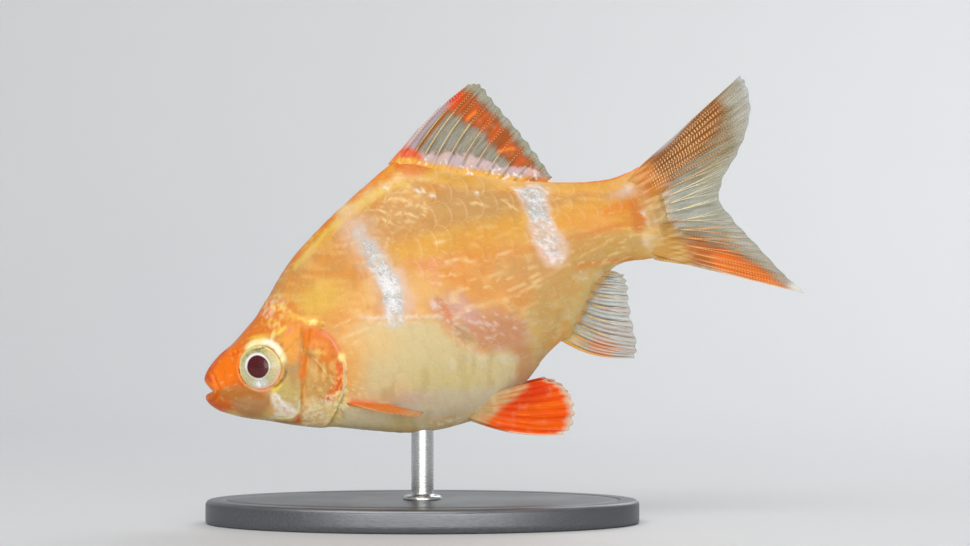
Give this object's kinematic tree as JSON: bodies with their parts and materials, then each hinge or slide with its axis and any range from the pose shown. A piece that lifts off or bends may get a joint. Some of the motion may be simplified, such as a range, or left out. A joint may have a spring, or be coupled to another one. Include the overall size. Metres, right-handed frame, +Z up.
{
  "type": "golden tiger barb model",
  "caption": "Deep-bodied small barb in a nose-down swimming pose, golden orange form, with spread fins, held by a rod over an oval display base.",
  "frame": {"origin": "centre of the whole model's box at the underside of the display base", "axes": "+X towards the tail, so the fish faces -X; +Y towards the fish's right side, away from the camera; +Z up"},
  "size_m": [0.064, 0.026, 0.0475],
  "materials": {
    "golden_skin": "satin",
    "orange_head_skin": "satin",
    "gill_cover_skin": "satin",
    "pale_iris": "gloss",
    "clear_orange_fin": "satin",
    "orange_red_fin": "satin",
    "satin_grey_base": "satin",
    "steel_rod": "satin"
  },
  "bodies": {
    "root": {"head": "orange_head_skin", "lower_jaw": "orange_head_skin", "gill_cover_left": "gill_cover_skin", "gill_cover_right": "gill_cover_skin", "trunk": "golden_skin", "tail": "golden_skin", "eye_left": "pale_iris", "eye_right": "pale_iris", "dorsal_fin": "clear_orange_fin", "caudal_fin_upper": "clear_orange_fin", "caudal_fin_lower": "orange_red_fin", "anal_fin": "clear_orange_fin", "pelvic_fin_left": "orange_red_fin", "pelvic_fin_right": "orange_red_fin", "pectoral_fin_left": "clear_orange_fin", "pectoral_fin_right": "clear_orange_fin", "stand_base": "satin_grey_base", "stand_rod": "steel_rod"}
  },
  "joints": []
}
